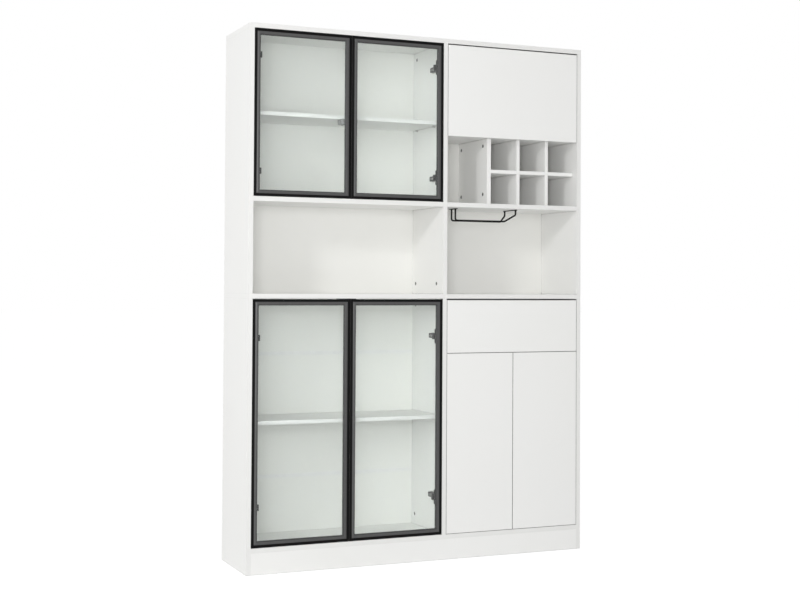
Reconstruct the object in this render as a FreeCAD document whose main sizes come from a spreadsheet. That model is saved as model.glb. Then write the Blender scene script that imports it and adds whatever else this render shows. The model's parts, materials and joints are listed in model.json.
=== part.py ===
import FreeCAD, Part
import math
import os
import re
import Sketcher

# Display cabinet: a lower case with two glass doors, a drawer and two plain doors,
# and an upper case with open niches, a bottle rack, a lift-up flap and two glass doors.
# X runs to the right, Y to the rear and Z up. The origin is the middle of the footprint.

document = FreeCAD.newDocument("display_cabinet")
sheet = document.addObject("Spreadsheet::Sheet", "Sizes")

# Driving dimensions in millimetres, and angles in degrees
sizes = {
    # The two cases
    "width": 1200.0,
    "depth": 270.0,
    "lower_tall": 878.0,
    "upper_tall": 852.0,
    "board": 15.0,
    "thin_board": 12.0,
    "left_bay": 657.5,
    "plinth_tall": 68.0,
    # Back panels and the strips that join them
    "back_sheet": 3.0,
    "back_recess": 18.0,
    "groove_deep": 6.0,
    "groove_play": 0.2,
    "sheet_reach": 5.0,
    "low_sheet_tall": 201.0,
    "middle_sheet_tall": 408.0,
    "strip_web": 1.0,
    "strip_skin": 1.0,
    "strip_tall": 12.0,
    # Levels of the inner boards, as clear heights
    "lower_shelf_rise": 380.0,
    "drawer_space": 176.0,
    "niche_space": 291.0,
    "rack_space": 224.0,
    "upper_shelf_rise": 261.0,
    "shelf_setback": 35.0,
    "hidden_setback": 17.0,
    "shelf_play": 1.0,
    # Bottle rack
    "rack_setback": 30.0,
    "tall_cubby": 162.0,
    "slot_play": 0.1,
    # Gaps around the fronts
    "front_thick": 15.0,
    "gap_edge": 1.5,
    "gap_pair": 2.0,
    "gap_lower_doors": 2.5,
    "gap_flap": 4.0,
    "flap_drop": 1.5,
    "gap_over_drawer": 5.0,
    "gap_under_drawer": 2.0,
    "drawer_front_tall": 175.5,
    # Aluminium frames and their panes
    "stile_wide": 19.0,
    "rim_wide": 8.5,
    "rim_step": 0.8,
    "pane_thick": 4.0,
    "pane_play": 0.25,
    "pane_inset": 5.0,
    "pane_slot_deep": 8.0,
    "pane_reach": 7.0,
    # Hinges: the knuckle on the door turns inside the curved lip of the arm
    "upper_hinge_inset": 80.0,
    "lower_hinge_inset": 122.0,
    "plain_hinge_inset": 100.0,
    "flap_hinge_inset": 80.0,
    "knuckle_radius": 24.0,
    "knuckle_tall": 20.0,
    "knuckle_start": 1.0,
    "knuckle_play": 0.3,
    "lip_thick": 2.0,
    "lip_start_angle": 48.0,
    "lip_sweep_angle": 40.0,
    "nose_start": 18.3,
    "nose_reach": 28.5,
    "nose_deep": 7.0,
    "flange_thick": 2.0,
    "flange_tall": 49.0,
    "flange_reach": 21.5,
    "cup_radius": 17.5,
    "cup_centre": 22.5,
    "cup_deep": 11.5,
    "cup_play": 0.1,
    "cup_floor_play": 1.0,
    "cup_flange_reach": 41.0,
    "arm_foot": 0.85,
    "arm_thick": 10.2,
    "arm_tall": 16.0,
    "arm_reach": 94.0,
    "plate_start": 58.0,
    "plate_end": 97.0,
    "plate_tall": 45.0,
    # Push catches
    "catch_wide": 26.0,
    "catch_tall": 17.0,
    "catch_long": 50.0,
    "catch_offset": 15.0,
    "catch_travel": 3.0,
    "catch_play": 0.3,
    "plunger_wide": 7.0,
    "plunger_long": 30.0,
    "button_wide": 11.0,
    "button_thick": 2.5,
    # Drawer and its runners
    "drawer_side_thick": 12.0,
    "drawer_box_tall": 120.0,
    "drawer_rear_gap": 19.0,
    "drawer_lift": 12.0,
    "drawer_sheet": 3.0,
    "drawer_sheet_lift": 10.0,
    "drawer_groove": 5.0,
    "runner_space": 12.7,
    "runner_tall": 45.0,
    "runner_metal": 1.2,
    "runner_play": 0.3,
    "runner_lip": 10.5,
    "runner_inner_lip": 10.2,
    "runner_inset": 4.0,
    "runner_rear_inset": 11.0,
    # Cam locks and shelf pins
    "cam_radius": 6.0,
    "cam_thick": 11.5,
    "cam_bore": 12.5,
    "cam_play": 0.1,
    "cam_low": 35.0,
    "cam_high": 24.0,
    "cam_front": 52.0,
    "cam_rear": 47.0,
    "cam_rack_front": 31.0,
    "cam_rack_rear": 20.0,
    "pin_radius": 2.5,
    "pin_long": 16.0,
    "pin_bore": 8.5,
    "pin_play": 0.1,
    "pin_front": 40.0,
    "pin_rear": 34.0,
    # Stemware rack, one bent and welded wire piece
    "wire_radius": 3.0,
    "wire_sides": 12.0,
    "wire_bend": 9.0,
    "wire_drop": 40.0,
    "wire_slot": 30.0,
    "wire_centre": 95.0,
    "wire_left": 65.0,
    "wire_rail": 188.0,
    "wire_flare_long": 30.0,
    "wire_flare_out": 25.0,
    "wire_flare_rise": 20.0,
    "wire_strap_wide": 10.0,
    "wire_strap_thick": 2.5,
    "wire_strap_over": 11.0,
    # One overrun for every cut that leaves its piece
    "overrun": 1.0,
}

for row, (alias, number) in enumerate(sizes.items(), start=1):
    cell = f"A{row}"
    sheet.set(cell, str(number))
    sheet.setAlias(cell, alias)
document.recompute()

# Places that follow from the driving dimensions
layout = {
    "right": "width / 2",
    "left": "0 - width / 2",
    "rear": "depth / 2",
    "front": "0 - depth / 2",
    "inner_left": "left + board",
    "inner_right": "right - board",
    "divider_left": "inner_left + left_bay",
    "divider_right": "divider_left + board",
    "sheet_rear": "rear - back_recess",
    "sheet_face": "sheet_rear - back_sheet",
    "front_back": "front + front_thick",
    "shelf_front": "front + shelf_setback",
    # Levels of the lower case
    "bottom_top": "plinth_tall + board",
    "lower_under": "lower_tall - board",
    "drawer_floor": "lower_under - drawer_space",
    "drawer_shelf_under": "drawer_floor - board",
    "lower_shelf_under": "bottom_top + lower_shelf_rise",
    "joint_low": "plinth_tall + low_sheet_tall",
    "joint_high": "joint_low + middle_sheet_tall",
    # Levels of the upper case
    "full_tall": "lower_tall + upper_tall",
    "upper_under": "full_tall - board",
    "deck_under": "lower_tall + niche_space",
    "deck_top": "deck_under + board",
    "ceiling_under": "deck_top + rack_space",
    "ceiling_top": "ceiling_under + board",
    "upper_shelf_under": "deck_top + upper_shelf_rise",
    "upper_joint": "deck_under + board / 2",
    # Bottle rack
    "rack_front": "front + rack_setback",
    "rack_middle": "(rack_front + sheet_face) / 2",
    "tall_left": "divider_right + tall_cubby",
    "tall_right": "tall_left + board",
    "cubby": "(inner_right - tall_right - 2 * thin_board) / 3",
    "cross_under": "(deck_top + ceiling_under - thin_board) / 2",
    "cross_top": "cross_under + thin_board",
    # Fronts
    "glass_meet": "(inner_left + divider_left) / 2",
    "plain_meet": "(divider_right + inner_right) / 2",
    "glass_left_low": "inner_left + gap_edge",
    "glass_left_high": "glass_meet - gap_pair / 2",
    "glass_right_low": "glass_meet + gap_pair / 2",
    "glass_right_high": "divider_left - gap_edge",
    "plain_left_low": "divider_right + gap_edge",
    "plain_left_high": "plain_meet - gap_pair / 2",
    "plain_right_low": "plain_meet + gap_pair / 2",
    "plain_right_high": "inner_right - gap_edge",
    "upper_door_low": "deck_top + gap_edge",
    "upper_door_high": "upper_under - gap_edge",
    "lower_door_low": "bottom_top + gap_edge",
    "lower_door_high": "lower_under - gap_lower_doors",
    "flap_low": "ceiling_under - flap_drop",
    "flap_high": "upper_under - gap_flap",
    "drawer_front_high": "lower_under - gap_over_drawer",
    "drawer_front_low": "drawer_front_high - drawer_front_tall",
    "plain_door_high": "drawer_front_low - gap_under_drawer",
    "pane_slot": "pane_thick + 2 * pane_play",
    # Push catches, measured from the front plane
    "button_face": "front_thick + catch_play",
    "catch_start": "button_face + button_thick + catch_travel + catch_play",
    "plunger_end": "button_face + button_thick + plunger_long",
    # Drawer box
    "box_left": "divider_right + runner_space",
    "box_right": "inner_right - runner_space",
    "box_low": "drawer_floor + drawer_lift",
    "box_high": "box_low + drawer_box_tall",
    "box_rear": "sheet_face - drawer_rear_gap",
    "box_sheet": "box_low + drawer_sheet_lift",
    "runner_middle": "(box_low + box_high) / 2",
    "runner_start": "front_back + runner_inset",
    "runner_end": "box_rear - runner_rear_inset",
    # Stemware rack
    "wire_x": "divider_right + wire_left",
    "wire_y": "front + wire_centre",
    "wire_low": "deck_under - wire_drop + wire_radius",
    "wire_high": "deck_under - wire_strap_thick",
}


def expand(text):
    """Write a formula in names out as one in cells of the sheet."""

    def cell_or_formula(found):
        name = found.group(0)
        if name in layout:
            return "(" + expand(layout[name]) + ")"
        return "Sizes." + name

    return re.sub(r"[a-z][a-z_]*", cell_or_formula, text)


def bind(thing, place, text):
    thing.setExpression(place, expand(text))


def put(piece, x="0", y="0", z="0", rotation=None):
    """Set a piece's turn, and bind its origin to formulas."""
    if rotation is not None:
        piece.Placement = FreeCAD.Placement(FreeCAD.Vector(), rotation)
    for letter, text in (("x", x), ("y", y), ("z", z)):
        if text != "0":
            bind(piece, ".Placement.Base." + letter, text)
    return piece


def turn_about(x, y, z, degrees):
    return FreeCAD.Rotation(FreeCAD.Vector(x, y, z), degrees)


def block(name, x, y, z):
    """A rectangular solid between two formulas on each axis."""
    piece = document.addObject("Part::Box", name)
    for side, (low, high) in (("Length", x), ("Width", y), ("Height", z)):
        bind(piece, side, f"({high}) - ({low})")
    return put(piece, x[0], y[0], z[0])


AXIS_TURN = {
    "x": turn_about(0, 1, 0, 90),
    "y": turn_about(1, 0, 0, -90),
    "z": turn_about(0, 0, 1, 0),
}


def rod(name, axis, radius, span, middle):
    """A cylinder along an axis, over a span, through the middle of the other two axes."""
    piece = document.addObject("Part::Cylinder", name)
    bind(piece, "Radius", radius)
    bind(piece, "Height", f"({span[1]}) - ({span[0]})")
    places = list(middle)
    places.insert("xyz".index(axis), span[0])
    return put(piece, *places, rotation=AXIS_TURN[axis])


def joined(kind, name, pieces):
    """A fuse, common or compound of several pieces."""
    result = document.addObject(kind, name)
    if kind == "Part::Compound":
        result.Links = pieces
    else:
        result.Shapes = pieces
    return result


def fuse(name, pieces):
    return joined("Part::MultiFuse", name, pieces)


def group(name, pieces):
    return joined("Part::Compound", name, pieces)


def cut(name, base, tools):
    """The base less its tools, which don't overlap each other."""
    result = document.addObject("Part::Cut", name)
    result.Base = base
    result.Tool = tools[0] if len(tools) == 1 else group(name + "_tools", tools)
    return result


nodes = {}


def keep(name, piece):
    """Count a finished piece as a node of the part."""
    piece.Label = name
    nodes[name] = piece
    return piece


def board_with(name, x, y, z, make_tools):
    """A board, and the cuts made in it by a function that takes the board's name."""
    return keep(name, cut(name, block(name + "_blank", x, y, z), make_tools(name)))


def plain_board(name, x, y, z):
    return keep(name, block(name, x, y, z))


# Grooves that hold the back panels
GROOVE_DEPTH = ("sheet_face - groove_play", "sheet_rear + groove_play")


def side_groove(name, left_side, z):
    """The upright groove in a side, open at its inner face."""
    if left_side:
        x = ("inner_left - groove_deep", "inner_left + overrun")
    else:
        x = ("inner_right - overrun", "inner_right + groove_deep")
    return block(name + "_groove", x, GROOVE_DEPTH, z)


def top_groove(name, under):
    """The groove in a top board's underside, closed at both ends."""
    x = ("inner_left - groove_deep", "inner_right + groove_deep")
    return block(name + "_groove", x, GROOVE_DEPTH, (under + " - overrun", under + " + groove_deep"))


# Cam locks, where they show: a seat bored in a divider's left face, and the cam flush in it
cams = []


def wall_cams(name, face, levels, depths):
    """Bore the seats at each level and depth, and add the cams that fill them."""
    bores = []
    for count, level in enumerate(levels):
        for number, place in enumerate(depths):
            site = f"{name}_{count}{number}"
            cams.append(rod(site + "_cam", "x", "cam_radius - cam_play", (face, f"{face} + cam_thick"),
                            (place, level)))
            bores.append(rod(site + "_bore", "x", "cam_radius", (f"{face} - overrun", f"{face} + cam_bore"),
                             (place, level)))
    return bores


CAM_DEPTHS = ("front + cam_front", "rear - cam_rear")


# Shelf pins: half of each stands in the wall, and the shelf lies on the rest
pins = []


def pin_holes(name, face, inward, level):
    """Two bores for shelf pins under a shelf, and the pins in them."""
    bores = []
    for number, place in enumerate(("shelf_front + pin_front", "sheet_face - pin_rear")):
        middle = (place, f"{level} - pin_radius")
        if inward > 0:
            bore = (f"{face} - overrun", f"{face} + pin_bore")
            body = (f"{face} - pin_long / 2", f"{face} + pin_long / 2")
        else:
            bore = (f"{face} - pin_bore", f"{face} + overrun")
            body = (f"{face} - pin_long / 2", f"{face} + pin_long / 2")
        pins.append(rod(f"{name}_pin_{number}", "x", "pin_radius", body, middle))
        bores.append(rod(f"{name}_pin_bore_{number}", "x", "pin_radius + pin_play", bore, middle))
    return bores


# Lower case
FULL_DEPTH = ("front", "rear")
INNER_DEPTH = ("front", "sheet_face")


def lower_left_cuts(name):
    cuts = [side_groove(name, True, ("0 - overrun", "lower_under + overrun"))]
    return cuts + pin_holes(name, "inner_left", -1, "lower_shelf_under")


def lower_right_cuts(name):
    return [side_groove(name, False, ("0 - overrun", "lower_under + overrun"))]


def lower_divider_cuts(name):
    levels = ["bottom_top + cam_low", "lower_under - cam_high"]
    cuts = wall_cams(name, "divider_left", levels, CAM_DEPTHS)
    return cuts + pin_holes(name, "divider_left", 1, "lower_shelf_under")


board_with("lower_left_side", ("left", "inner_left"), FULL_DEPTH, ("0", "lower_under"), lower_left_cuts)
board_with("lower_right_side", ("inner_right", "right"), FULL_DEPTH, ("0", "lower_under"), lower_right_cuts)
board_with("lower_divider", ("divider_left", "divider_right"), INNER_DEPTH,
           ("bottom_top", "lower_under"), lower_divider_cuts)
board_with("lower_top_board", ("left", "right"), FULL_DEPTH, ("lower_under", "lower_tall"),
           lambda name: [top_groove(name, "lower_under")])
plain_board("lower_bottom_board", ("inner_left", "inner_right"), INNER_DEPTH, ("plinth_tall", "bottom_top"))
plain_board("plinth_front", ("inner_left", "inner_right"), ("front", "front + board"), ("0", "plinth_tall"))

LEFT_SHELF = ("inner_left + shelf_play", "divider_left - shelf_play")
SHELF_DEPTH = ("shelf_front", "sheet_face")
HIDDEN_DEPTH = ("front + hidden_setback", "sheet_face")
RIGHT_BAY = ("divider_right", "inner_right")
LEFT_BAY = ("inner_left", "divider_left")

plain_board("lower_shelf", LEFT_SHELF, SHELF_DEPTH, ("lower_shelf_under", "lower_shelf_under + thin_board"))
plain_board("drawer_shelf", RIGHT_BAY, HIDDEN_DEPTH, ("drawer_shelf_under", "drawer_floor"))

# Upper case


def upper_left_cuts(name):
    cuts = [side_groove(name, True, ("lower_tall - overrun", "upper_under + overrun"))]
    return cuts + pin_holes(name, "inner_left", -1, "upper_shelf_under")


def upper_right_cuts(name):
    return [side_groove(name, False, ("lower_tall - overrun", "upper_under + overrun"))]


def upper_divider_cuts(name):
    levels = ["lower_tall + cam_low", "upper_under - cam_high"]
    cuts = wall_cams(name, "divider_left", levels, CAM_DEPTHS)
    return cuts + pin_holes(name, "divider_left", 1, "upper_shelf_under")


UPPER_LEVELS = ("lower_tall", "upper_under")
board_with("upper_left_side", ("left", "inner_left"), FULL_DEPTH, UPPER_LEVELS, upper_left_cuts)
board_with("upper_right_side", ("inner_right", "right"), FULL_DEPTH, UPPER_LEVELS, upper_right_cuts)
board_with("upper_divider", ("divider_left", "divider_right"), INNER_DEPTH, UPPER_LEVELS, upper_divider_cuts)
board_with("upper_top_board", ("left", "right"), FULL_DEPTH, ("upper_under", "full_tall"),
           lambda name: [top_groove(name, "upper_under")])
plain_board("upper_shelf", LEFT_SHELF, SHELF_DEPTH, ("upper_shelf_under", "upper_shelf_under + thin_board"))
plain_board("display_floor", LEFT_BAY, INNER_DEPTH, ("deck_under", "deck_top"))
plain_board("rack_floor", RIGHT_BAY, INNER_DEPTH, ("deck_under", "deck_top"))
plain_board("rack_ceiling", RIGHT_BAY, HIDDEN_DEPTH, ("ceiling_under", "ceiling_top"))

# Bottle rack: a tall divider, and two thin ones that cross a thin shelf with halving slots
RACK_DEPTH = ("rack_front", "sheet_face")
RACK_CAM_DEPTHS = ("rack_front + cam_rack_front", "sheet_face - cam_rack_rear")


def tall_divider_cuts(name):
    levels = ["deck_top + cam_low", "ceiling_under - cam_high"]
    return wall_cams(name, "tall_left", levels, RACK_CAM_DEPTHS)


board_with("rack_tall_divider", ("tall_left", "tall_right"), RACK_DEPTH,
           ("deck_top", "ceiling_under"), tall_divider_cuts)

thin_dividers = []
cross_slots = []
for number in (1, 2):
    start = f"tall_right + {number} * cubby + {number - 1} * thin_board"
    blank = block(f"thin_divider_blank_{number}", (start, start + " + thin_board"), RACK_DEPTH,
                  ("deck_top", "ceiling_under"))
    rear_slot = block(f"thin_divider_slot_{number}",
                      (start + " - overrun", start + " + thin_board + overrun"),
                      ("rack_middle", "sheet_face + overrun"),
                      ("cross_under - slot_play", "cross_top + slot_play"))
    thin_dividers.append(cut(f"thin_divider_{number}", blank, [rear_slot]))
    cross_slots.append(block(f"cross_slot_{number}",
                             (start + " - slot_play", start + " + thin_board + slot_play"),
                             ("rack_front - overrun", "rack_middle"),
                             ("cross_under - overrun", "cross_top + overrun")))
keep("rack_thin_dividers", group("rack_thin_dividers", thin_dividers))
board_with("rack_cross_shelf", ("tall_right", "inner_right"), RACK_DEPTH, ("cross_under", "cross_top"),
           lambda name: cross_slots)

# Back panels, and the strips that join them where no board hides the joint
SHEET_WIDTH = ("inner_left - sheet_reach", "inner_right + sheet_reach")
SHEET_DEPTH = ("sheet_face", "sheet_rear")


def back_sheets(name, levels):
    """Panels one above the other, each pair parted by the strip's web."""
    panels = []
    for number, (low, high) in enumerate(zip(levels, levels[1:])):
        bottom = low if number == 0 else low + " + strip_web / 2"
        top = high + " + sheet_reach" if number == len(levels) - 2 else high + " - strip_web / 2"
        panels.append(block(f"{name}_{number}", SHEET_WIDTH, SHEET_DEPTH, (bottom, top)))
    return keep(name, group(name, panels))


back_sheets("lower_back_panels", ["plinth_tall", "joint_low", "joint_high", "lower_under"])
back_sheets("upper_back_panels", ["lower_tall", "upper_joint", "upper_under"])


def joining_strip(name, x, level):
    """A strip of H section that holds the edges of two panels."""
    skin_z = (f"{level} - strip_tall / 2", f"{level} + strip_tall / 2")
    web_z = (f"{level} - strip_web / 2", f"{level} + strip_web / 2")
    return fuse(name, [
        block(name + "_front", x, ("sheet_face - strip_skin", "sheet_face"), skin_z),
        block(name + "_web", x, SHEET_DEPTH, web_z),
        block(name + "_rear", x, ("sheet_rear", "sheet_rear + strip_skin"), skin_z),
    ])


keep("back_joining_strips", group("back_joining_strips", [
    joining_strip("strip_low_left", LEFT_BAY, "joint_low"),
    joining_strip("strip_high_left", LEFT_BAY, "joint_high"),
    joining_strip("strip_low_right", RIGHT_BAY, "joint_low"),
]))

# Aluminium door frames: four mitred rails round a pane


def plane_of(body, role):
    return next(plane for plane in body.Origin.OriginFeatures if plane.Role == role)


def outline(body, name, role, points):
    """A closed sketch on an origin plane, with each corner bound to two formulas."""
    sketch = body.newObject("Sketcher::SketchObject", name)
    sketch.AttachmentSupport = [(plane_of(body, role), "")]
    sketch.MapMode = "FlatFace"
    corners = [FreeCAD.Vector(*(sheet_value(text) for text in point), 0) for point in points]
    for number, corner in enumerate(corners):
        sketch.addGeometry(Part.LineSegment(corner, corners[(number + 1) % len(corners)]), False)
    for number in range(len(corners)):
        following = (number + 1) % len(corners)
        sketch.addConstraint(Sketcher.Constraint("Coincident", number, 2, following, 1))
    for number, (corner, point) in enumerate(zip(corners, points)):
        for kind, number_now, text in (("DistanceX", corner.x, point[0]), ("DistanceY", corner.y, point[1])):
            index = sketch.addConstraint(Sketcher.Constraint(kind, -1, 1, number, 1, number_now))
            bind(sketch, f"Constraints[{index}]", text)
    return sketch


scratch = document.addObject("Part::Vertex", "formula_reader")


def sheet_value(text):
    """The present value of a formula, read through a point bound to it."""
    bind(scratch, "X", text)
    scratch.recompute()
    return scratch.X.Value


def pad_of(body, sketch, length, reverse):
    pad = body.newObject("PartDesign::Pad", sketch.Name + "_pad")
    pad.Profile = sketch
    pad.Reversed = reverse
    bind(pad, "Length", length)
    return pad


def pocket_through(body, sketch, reverse):
    pocket = body.newObject("PartDesign::Pocket", sketch.Name + "_pocket")
    pocket.Profile = sketch
    pocket.Type = "ThroughAll"
    pocket.Reversed = reverse
    return pocket


def frame_rail(name, length):
    """One rail along its own X, with its outer edge at zero and its face at the front."""
    body = document.addObject("PartDesign::Body", name)
    mitred = outline(body, name + "_face", "XZ_Plane", [
        ("0", "0"),
        (length, "0"),
        (f"{length} - stile_wide", "stile_wide"),
        ("stile_wide", "stile_wide"),
    ])
    pad_of(body, mitred, "front_thick", True)
    slot = outline(body, name + "_slot", "YZ_Plane", [
        ("pane_inset", "stile_wide - pane_slot_deep"),
        ("pane_inset + pane_slot", "stile_wide - pane_slot_deep"),
        ("pane_inset + pane_slot", "stile_wide + overrun"),
        ("pane_inset", "stile_wide + overrun"),
    ])
    pocket_through(body, slot, True)
    rim = outline(body, name + "_rim", "YZ_Plane", [
        ("0 - overrun", "0 - overrun"),
        ("rim_step", "0 - overrun"),
        ("rim_step", "rim_wide"),
        ("0 - overrun", "rim_wide"),
    ])
    pocket_through(body, rim, True)
    return body


def glass_door(name, x, z):
    """A mitred frame and its pane between two formulas across and two up."""
    width = f"({x[1]}) - ({x[0]})"
    tall = f"({z[1]}) - ({z[0]})"
    rails = [
        put(frame_rail(name + "_bottom_rail", width), x[0], "front", z[0]),
        put(frame_rail(name + "_top_rail", width), x[1], "front", z[1], turn_about(0, 1, 0, 180)),
        put(frame_rail(name + "_left_stile", tall), x[0], "front", z[1], turn_about(0, 1, 0, 90)),
        put(frame_rail(name + "_right_stile", tall), x[1], "front", z[0], turn_about(0, 1, 0, -90)),
    ]
    keep(name + "_frame", group(name + "_frame", rails))
    inset = "stile_wide - pane_reach"
    keep(name + "_pane", block(
        name + "_pane",
        (f"{x[0]} + {inset}", f"{x[1]} - ({inset})"),
        ("front + pane_inset + pane_play", "front + pane_inset + pane_play + pane_thick"),
        (f"{z[0]} + {inset}", f"{z[1]} - ({inset})")))


GLASS_LEFT = ("glass_left_low", "glass_left_high")
GLASS_RIGHT = ("glass_right_low", "glass_right_high")
UPPER_DOORS = ("upper_door_low", "upper_door_high")
LOWER_DOORS = ("lower_door_low", "lower_door_high")
glass_door("upper_left_door", GLASS_LEFT, UPPER_DOORS)
glass_door("upper_right_door", GLASS_RIGHT, UPPER_DOORS)
glass_door("lower_left_door", GLASS_LEFT, LOWER_DOORS)
glass_door("lower_right_door", GLASS_RIGHT, LOWER_DOORS)

# Hinge places: the axis lies along each front's outer edge in the front plane


def upright_sites(x, low, high, inset, degrees):
    """Two hinges on an upright axis, near the ends of a door."""
    turn = turn_about(0, 1, 0, degrees)
    return [(x, f"{low} + {inset}", turn), (x, f"{high} - {inset}", turn)]


flap_turn = turn_about(0, 1, 0, 90)
hinge_sites = {
    "upper_left_door": upright_sites("glass_left_low", *UPPER_DOORS, "upper_hinge_inset", 0),
    "upper_right_door": upright_sites("glass_right_high", *UPPER_DOORS, "upper_hinge_inset", 180),
    "lower_left_door": upright_sites("glass_left_low", *LOWER_DOORS, "lower_hinge_inset", 0),
    "lower_right_door": upright_sites("glass_right_high", *LOWER_DOORS, "lower_hinge_inset", 180),
    "plain_left_door": upright_sites("plain_left_low", "lower_door_low", "plain_door_high",
                                     "plain_hinge_inset", 0),
    "plain_right_door": upright_sites("plain_right_high", "lower_door_low", "plain_door_high",
                                      "plain_hinge_inset", 180),
    "flap": [("plain_left_low + flap_hinge_inset", "flap_high", flap_turn),
             ("plain_right_high - flap_hinge_inset", "flap_high", flap_turn)],
}


def copies(name, master, sites):
    """Copies of one piece at the hinge places."""
    result = []
    for number, (x, z, turn) in enumerate(sites):
        link = document.addObject("App::Link", f"{name}_{number}")
        link.LinkedObject = master
        link.LinkTransform = True
        result.append(put(link, x, "front", z, turn))
    return result


# Hinge pieces about their own axis: X away from the wall, Y into the cabinet
def centred(size):
    return (f"0 - {size} / 2", f"{size} / 2")


def knuckle_pieces(name):
    """The round knuckle and the nose beside it, both on the back of the door."""
    drum = rod(name + "_drum", "z", "knuckle_radius", centred("knuckle_tall"), ("0", "0"))
    window = block(name + "_window", ("knuckle_start", "knuckle_radius"),
                   ("front_thick", "knuckle_radius + overrun"), centred("knuckle_tall"))
    nose = block(name + "_nose", ("nose_start", "nose_reach"),
                 ("front_thick", "front_thick + nose_deep"), centred("knuckle_tall"))
    return [joined("Part::MultiCommon", name + "_knuckle", [drum, window]), nose]


def flange(name, reach):
    return block(name, ("knuckle_start", reach), ("front_thick", "front_thick + flange_thick"),
                 centred("flange_tall"))


stile_cup = fuse("stile_cup", knuckle_pieces("stile") + [flange("stile_flange", "flange_reach")])
board_cup = fuse("board_cup", knuckle_pieces("bored") + [
    flange("bored_flange", "cup_flange_reach"),
    rod("bored_cup", "y", "cup_radius", ("front_thick - cup_deep", "front_thick"), ("cup_centre", "0")),
])

lip = rod("arm_lip", "z", "knuckle_radius + knuckle_play + lip_thick", centred("arm_tall"), ("0", "0"))
lip.Angle = sheet_value("lip_sweep_angle")
bind(lip, "Angle", "lip_sweep_angle")
lip.Placement.Rotation = turn_about(0, 0, 1, sheet_value("lip_start_angle"))
arm_bar = block("arm_bar", ("arm_foot", "arm_foot + arm_thick"), ("front_thick + nose_deep", "arm_reach"),
                centred("arm_tall"))
arm_hollow = rod("arm_hollow", "z", "knuckle_radius + knuckle_play",
                 ("0 - arm_tall / 2 - overrun", "arm_tall / 2 + overrun"), ("0", "0"))
hinge_arm = cut("hinge_arm", fuse("arm_whole", [lip, arm_bar]), [arm_hollow])


def hinge_plate(name, wall_gap):
    """The plate between the arm and the wall that it is screwed to."""
    return block(name, (f"0 - {wall_gap}", "arm_foot"), ("plate_start", "plate_end"), centred("plate_tall"))


door_plate = hinge_plate("door_hinge_plate", "gap_edge")
flap_plate = hinge_plate("flap_hinge_plate", "gap_flap")
arms = []
plates = []
for front, sites in hinge_sites.items():
    cup = stile_cup if front.startswith(("upper", "lower")) else board_cup
    plate = flap_plate if front == "flap" else door_plate
    arms += copies(front + "_arm", hinge_arm, sites)
    plates += copies(front + "_plate", plate, sites)
    keep(front + "_hinge_cups", group(front + "_hinge_cups", copies(front + "_cup", cup, sites)))
keep("hinge_arms", group("hinge_arms", arms))
keep("hinge_plates", group("hinge_plates", plates))

# Plain fronts, bored for the hinge cups
CUP_BORE = ("front_back - cup_deep - cup_floor_play", "front_back + overrun")


def bored_front(name, x, z, cup_places):
    """A plain front with a round seat for each hinge cup in its back."""

    def make(front_name):
        return [rod(f"{front_name}_cup_bore_{number}", "y", "cup_radius + cup_play", CUP_BORE, place)
                for number, place in enumerate(cup_places)]

    return board_with(name, x, ("front", "front_back"), z, make)


def door_cups(edge, inward):
    """Cup places of a plain door: beside its hinge edge, at both hinges."""
    x = f"{edge} + cup_centre" if inward > 0 else f"{edge} - cup_centre"
    return [(x, "lower_door_low + plain_hinge_inset"), (x, "plain_door_high - plain_hinge_inset")]


PLAIN_DOORS = ("lower_door_low", "plain_door_high")
bored_front("plain_left_door", ("plain_left_low", "plain_left_high"), PLAIN_DOORS,
            door_cups("plain_left_low", 1))
bored_front("plain_right_door", ("plain_right_low", "plain_right_high"), PLAIN_DOORS,
            door_cups("plain_right_high", -1))
bored_front("flap", ("plain_left_low", "plain_right_high"), ("flap_low", "flap_high"),
            [("plain_left_low + flap_hinge_inset", "flap_high - cup_centre"),
             ("plain_right_high - flap_hinge_inset", "flap_high - cup_centre")])

# Push catches: a housing with a square well, and a sprung plunger with a wider button


def square_rod(name, wide, y):
    """A square bar along Y about the catch's middle line."""
    return block(name, centred(wide), y, centred(wide))


WELL = ("catch_start - overrun", "plunger_end + catch_travel + catch_play")
housing = cut("catch_housing", block("catch_block", centred("catch_wide"),
                                     ("catch_start", "catch_start + catch_long"), centred("catch_tall")),
              [square_rod("catch_well", "(plunger_wide + 2 * catch_play)", WELL)])
plunger = fuse("catch_plunger", [
    square_rod("plunger_button", "button_wide", ("button_face", "button_face + button_thick")),
    square_rod("plunger_stem", "plunger_wide", ("button_face + button_thick", "plunger_end")),
])
NO_TURN = turn_about(0, 0, 1, 0)
catch_sites = {
    "upper_left": ("glass_meet - catch_offset", "upper_shelf_under - catch_tall / 2"),
    "upper_right": ("glass_meet + catch_offset", "upper_shelf_under - catch_tall / 2"),
    "lower_left": ("glass_meet - catch_offset", "lower_under - catch_tall / 2"),
    "lower_right": ("glass_meet + catch_offset", "lower_under - catch_tall / 2"),
    "plain_left": ("plain_meet - catch_offset", "drawer_shelf_under - catch_tall / 2"),
    "plain_right": ("plain_meet + catch_offset", "drawer_shelf_under - catch_tall / 2"),
    "flap": ("plain_meet", "ceiling_top + catch_tall / 2"),
}
housings = []
for front, (x, z) in catch_sites.items():
    housings += copies(front + "_catch", housing, [(x, z, NO_TURN)])
    keep(front + "_plunger", group(front + "_plunger", copies(front + "_stem", plunger, [(x, z, NO_TURN)])))
keep("catch_housings", group("catch_housings", housings))

# Drawer box
SIDE_DEPTH = ("front_back", "box_rear")
BOX_LEVELS = ("box_low", "box_high")
SHEET_LEVELS = ("box_sheet", "box_sheet + drawer_sheet")
BOX_INNER = ("box_left + drawer_side_thick", "box_right - drawer_side_thick")
SHEET_SPAN = ("box_left + drawer_side_thick - drawer_groove", "box_right - drawer_side_thick + drawer_groove")

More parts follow.
